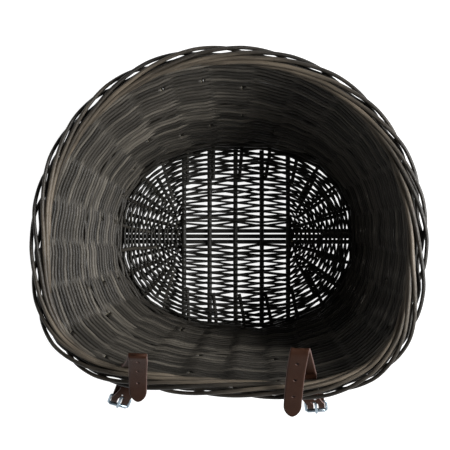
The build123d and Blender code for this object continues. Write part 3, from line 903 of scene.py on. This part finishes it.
def buckle_leather(name, strap):
    """Leather from inside the wall, through the slot, round the heel bar and back under."""
    leather_place, heel = buckle_places(strap)
    middle = HEEL_RADIUS + BAR_CLEARANCE + STRAP_THICKNESS / 2
    half = STRAP_WIDTH / 2
    rows = []
    inward = np.array((0, 1.0, 0))
    for distance in (13.0, 10.0, 7.0, 4.5, 2.5):
        left, right = (
            leather_place.world((side, 0, 0)) + inward * distance for side in (-half, half))
        rows.append((left, right, np.array((0, 0, -1.0))))
    start_left, start_right = (leather_place.world((side, 0, 0)) for side in (-half, half))
    end_left, end_right = (heel.world((side, 0, -middle)) for side in (-half, half))
    for t in np.linspace(0.06, 1, 14):
        bow = leather_place.axes[2] * -1.2 * math.sin(math.pi * t)
        left = start_left * (1 - t) + end_left * t + bow
        right = start_right * (1 - t) + end_right * t + bow
        rows.append((left, right, leather_place.axes[2]))
    fold_start = len(rows)
    for angle in np.linspace(0, math.pi, 13)[1:]:
        y, z = (middle + LOOP_REACH) * math.sin(angle), -middle * math.cos(angle)
        normal = heel.axes[1] * -math.sin(angle) + heel.axes[2] * math.cos(angle)
        rows.append((heel.world((-half, y, z)), heel.world((half, y, z)), normal))
    for back in np.linspace(1.2, RETURN_LENGTH, 10):
        left, right = (heel.world((side, -back, middle)) for side in (-half, half))
        rows.append((left, right, -heel.axes[2]))
    across = np.array([-1, -0.95, -0.8, -0.6, -0.42, -0.28, 0, 0.28, 0.42, 0.6, 0.8, 0.95, 1])
    lefts, rights, normals = (np.array([row[k] for row in rows]) for k in range(3))
    along = lengths((lefts + rights) / 2)
    n, m = len(rows), len(across)
    t = (across + 1) / 2
    grid = lefts[:, None, :] * (1 - t)[None, :, None] + rights[:, None, :] * t[None, :, None]
    fold = along[fold_start - 1]
    slot_rows = [i for i in range(fold_start + PRONG_SLOT[1]) if fold - PRONG_SLOT[0] <= along[i]]
    thick = STRAP_THICKNESS / 2
    shell = [grid - normals[:, None, :] * thick, grid + normals[:, None, :] * thick]
    verts = np.vstack([layer.reshape(-1, 3) for layer in shell])
    flat = np.stack(np.broadcast_arrays(across[None, :] * half, along[:, None]), axis=-1)
    flat = flat.reshape(-1, 2)
    grain = np.vstack([np.column_stack([flat, np.full(len(flat), z)]) for z in (-thick, thick)])
    kept = np.ones((n - 1, m - 1), bool)
    kept[np.ix_(slot_rows, SLOT_COLUMNS)] = False
    faces, kinds, second = [], [], n * m

    def vertex(i, j, layer=0):
        return i * m + j + layer * second

    for i in range(n - 1):
        for j in range(m - 1):
            if not kept[i, j]:
                continue
            quad = [vertex(i, j), vertex(i + 1, j), vertex(i + 1, j + 1), vertex(i, j + 1)]
            faces.append(quad)
            faces.append([v + second for v in reversed(quad)])
            kinds += [0, 0]
            for di, dj, a, b in ((-1, 0, (i, j + 1), (i, j)), (1, 0, (i + 1, j), (i + 1, j + 1)),
                                 (0, -1, (i, j), (i + 1, j)), (0, 1, (i + 1, j + 1), (i, j + 1))):
                ii, jj = i + di, j + dj
                if 0 <= ii < n - 1 and 0 <= jj < m - 1 and kept[ii, jj]:
                    continue
                faces.append([vertex(*a), vertex(*a, 1), vertex(*b, 1), vertex(*b)])
                kinds.append(1)
    piece = make_mesh(name, verts, faces, (LEATHER, LEATHER_EDGE), kinds, grain)
    tidy_normals(piece)
    bevel = piece.modifiers.new("soft", "BEVEL")
    bevel.width = 0.5 * MM
    bevel.segments = 2
    bevel.limit_method = "ANGLE"
    apply_modifiers(piece)
    return piece


def tidy_normals(piece):
    """Removes loose points and turns every face outward."""
    work = bmesh.new()
    work.from_mesh(piece.data)
    bmesh.ops.delete(work, geom=[v for v in work.verts if not v.link_faces], context="VERTS")
    bmesh.ops.recalc_face_normals(work, faces=work.faces)
    work.to_mesh(piece.data)
    work.free()


# --- buckle metal ---
def rounded_corner(centre, start, end, radius, count=7):
    """Quarter arc about centre, from one angle to another, in degrees."""
    angles = np.radians(np.linspace(start, end, count))
    return [(centre[0] + radius * math.cos(a), centre[1] + radius * math.sin(a)) for a in angles]


def buckle_frame(name, heel):
    x, y, r = FRAME_INSIDE / 2 + FRAME_SIDE / 2, FRAME_LENGTH, 2.2
    corners = (
        rounded_corner((x - r, y - r), 0, 90, r) + rounded_corner((-x + r, y - r), 90, 180, r)
        + rounded_corner((-x + r, r), 180, 270, r) + rounded_corner((x - r, r), 270, 360, r))
    flat = [(x, y / 2)] + corners + [(x, y / 2)]
    dense = []
    for (ax, ay), (bx, by) in zip(flat[:-1], flat[1:]):
        steps = 2 if math.hypot(bx - ax, by - ay) < 2 else 8
        dense += [(ax + (bx - ax) * k / steps, ay + (by - ay) * k / steps) for k in range(steps)]
    dense.append(flat[-1])
    line = heel.world([(px, py, 0) for px, py in dense])
    bundle = Bundle()
    radius = np.array([1.25 + 0.2 * min(1, max(0, (abs(px) - 9) / 2)) for px, _ in dense])
    bundle.rod(line, radius, up=heel.axes[2], sides=14, cut=(False, False))
    return bundle.build(name, (BUCKLE_STEEL,))


def lathe(name, place, axis_x, profile, material, count=28):
    """Turned piece: profile is (place along the axis, radius)."""
    axis, a, b = axis_x
    angle = np.linspace(0, 2 * math.pi, count, endpoint=False)
    circle = np.cos(angle)[:, None] * a + np.sin(angle)[:, None] * b
    rings = [place + axis * along + radius * circle for along, radius in profile]
    verts = np.vstack(rings)
    faces = []
    for i in range(len(profile) - 1):
        for j in range(count):
            k = (j + 1) % count
            faces.append((i * count + j, i * count + k, (i + 1) * count + k, (i + 1) * count + j))
    closed = profile[0] == profile[-1]
    if not closed:
        faces.append(tuple(reversed(range(count))))
        faces.append(tuple((len(profile) - 1) * count + j for j in range(count)))
    piece = make_mesh(name, verts, faces, (material,))
    if closed:
        work = bmesh.new()
        work.from_mesh(piece.data)
        bmesh.ops.remove_doubles(work, verts=work.verts, dist=1e-7)
        work.to_mesh(piece.data)
        work.free()
    tidy_normals(piece)
    return piece


def buckle_roller(name, heel):
    half = FRAME_INSIDE / 2 - 0.4
    r, inside = ROLLER_RADIUS, 1.33
    profile = [
        (-half, inside), (-half, r - 0.35), (-half + 0.3, r), (half - 0.3, r), (half, r - 0.35),
        (half, inside), (-half, inside)]
    place = heel.world((0, FRAME_LENGTH, 0))
    return lathe(name, place, heel.axes, profile, BUCKLE_STEEL)


def buckle_prong(name, heel):
    """Flat tongue curled round the heel bar, its tip resting past the roller."""
    curl = [(2.45 * math.cos(a), 2.45 * math.sin(a)) for a in np.radians(np.linspace(60, 235, 12))]
    line = curl + [
        (0.6, -3.05), (2.6, -3.25), (7.0, -3.3), (12.5, -3.3), (15.6, -3.15), (17.2, -2.6)]
    line = smooth_line([(0, y, z) for y, z in line], 70)
    points = heel.world(line)
    along = lengths(points)
    radius = 0.95 * np.interp(along[-1] - along, (0, 1.2, 3), (0.35, 0.8, 1))
    bundle = Bundle()
    up = np.cross(unit(np.gradient(points, axis=0)), heel.axes[0])
    bundle.rod(points, radius, up=up, sides=12, cut=(False, False), flat=1.6)
    return bundle.build(name, (BUCKLE_STEEL,))


def buckle_rivet(name, heel):
    outside = HEEL_RADIUS + BAR_CLEARANCE + 3.0
    head = [
        (-outside - 1.1, 0.3), (-outside - 1.0, 1.2), (-outside - 0.7, 2.1),
        (-outside - 0.25, 2.6), (-outside + 0.05, 2.6), (-outside + 0.05, 1.4)]
    foot = [
        (outside - 0.05, 1.4), (outside - 0.05, 2.5), (outside + 0.5, 2.3),
        (outside + 0.7, 1.2), (outside + 0.55, 0.7), (outside + 0.2, 0.4)]
    place = heel.world((0, -RIVET_FROM_BAR, 0))
    axes = (heel.axes[2], heel.axes[0], heel.axes[1])
    return lathe(name, place, axes, head + foot, RIVET_STEEL)


def cut_strip(piece, limit, first):
    """Keeps the part of a strip before limit, or after it, and closes the cut."""
    work = bmesh.new()
    work.from_mesh(piece.data)
    place = work.verts.layers.float_vector["grain"]
    gone = [face for face in work.faces
            if (sum(v[place].y for v in face.verts) / len(face.verts) > limit) == first]
    bmesh.ops.delete(work, geom=gone, context="FACES")
    bmesh.ops.holes_fill(work, edges=[edge for edge in work.edges if edge.is_boundary], sides=0)
    work.to_mesh(piece.data)
    work.free()


METAL_PARTS = (               # name, how it is made, body and slot
    ("rivet", buckle_rivet, "flap", "rivet_steel"),
    ("frame", buckle_frame, "frame", "buckle_steel"),
    ("roller", buckle_roller, "roller", "buckle_steel"),
    ("prong", buckle_prong, "prong", "buckle_steel"),
)


def build_straps():
    for side, strap in STRAPS.items():
        line = smooth_line(strap["line"], 260)
        crest = np.argmin(np.linalg.norm(line - np.array(strap["crest"], float), axis=1))
        for part, body in (("limb", "basket"), ("tail", f"{side}_tail")):
            piece = bent_strip(f"{side}_{part}_leather", line, TAIL_HOLES, (LEATHER, LEATHER_EDGE))
            cut_strip(piece, lengths(line)[crest], part == "limb")
            settle(piece, body, "leather", f"{side}_strap_{part}")
        axes = np.array(((1, 0, 0), (0, 1, 0), (0, 0, 1)), float)
        edge = STRAP_WIDTH / 2 - 0.3
        profile = [(-edge, CREST_RADIUS), (edge, CREST_RADIUS)]
        crest_fold = lathe(f"{side}_crest_fold", line[crest], axes, profile, LEATHER)
        settle(crest_fold, f"{side}_tail", "leather")

        fold = buckle_leather(f"{side}_buckle_fold", strap)
        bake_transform(fold)
        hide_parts(f"{side}_buckle_leather")

        _, heel = buckle_places(strap)
        for part, make, body, slot in METAL_PARTS:
            settle(make(f"{side}_{part}", heel), f"{side}_{body}", slot, f"{side}_buckle_{part}")


# --- studio ---
SKY = 0.05
CAMERA_LENS, CAMERA_SENSOR = 56.5, 36
CAMERA_PLACE, CAMERA_TARGET = (0.0586, 0.0039, 0.998), (-0.0157, 0.016, 0)
BACKDROP_RADIUS, BACKDROP_HEIGHT = 5, 2.2
PAPER_GLOW = 0.95
LAMPS = (                     # name, place, size, power
    ("key", (1.35, 0.05, 1.05), 0.6, 62),
    ("fill", (-0.2, -0.9, 1.5), 1.0, 2),
)


def look_at(place, target, up=(0, 1, 0)):
    forward = (Vector(target) - Vector(place)).normalized()
    right = forward.cross(Vector(up)).normalized()
    top = right.cross(forward)
    turned = Matrix((right, top, -forward)).transposed().to_4x4()
    turned.translation = Vector(place)
    return turned


def build_studio():
    camera = bpy.data.objects.new("camera", bpy.data.cameras.new("camera"))
    camera.data.lens = CAMERA_LENS
    camera.data.sensor_width = CAMERA_SENSOR
    camera.matrix_world = look_at(CAMERA_PLACE, CAMERA_TARGET)
    bpy.context.scene.collection.objects.link(camera)
    bpy.context.scene.camera = camera

    white = Nodes("studio_white")
    white.shader.inputs["Emission Color"].default_value = (1, 1, 1, 1)
    white.shader.inputs["Emission Strength"].default_value = PAPER_GLOW
    paper = white.finish((0.25, 0.25, 0.25, 1), 0.9)
    bpy.ops.mesh.primitive_circle_add(
        vertices=64, radius=BACKDROP_RADIUS, fill_type="NGON", location=(0, 0, -0.0005))
    floor = bpy.context.active_object
    floor.name = "studio_floor"
    bpy.ops.mesh.primitive_cylinder_add(
        vertices=64, radius=BACKDROP_RADIUS, depth=BACKDROP_HEIGHT, end_fill_type="NOTHING",
        location=(0, 0, BACKDROP_HEIGHT / 2))
    backdrop = bpy.context.active_object
    backdrop.name = "studio_backdrop"
    for surface in (floor, backdrop):
        surface.data.materials.append(paper)

    for name, place, size, energy in LAMPS:
        lamp = bpy.data.lights.new(name, "AREA")
        lamp.shape = "SQUARE"
        lamp.size = size
        lamp.energy = energy
        holder = bpy.data.objects.new(name, lamp)
        holder.matrix_world = look_at(place, (0, 0, 0.1))
        bpy.context.scene.collection.objects.link(holder)

    world = bpy.data.worlds.new("studio")
    world.use_nodes = True
    world.node_tree.nodes["Background"].inputs["Color"].default_value = (1, 1, 1, 1)
    world.node_tree.nodes["Background"].inputs["Strength"].default_value = SKY
    bpy.context.scene.world = world
    bpy.context.scene.view_settings.view_transform = "Standard"


SPOKES = spokes()
ROW_SHARES = row_shares()

build_wall()
build_border()
build_floor()
build_stakes()
build_straps()
build_studio()
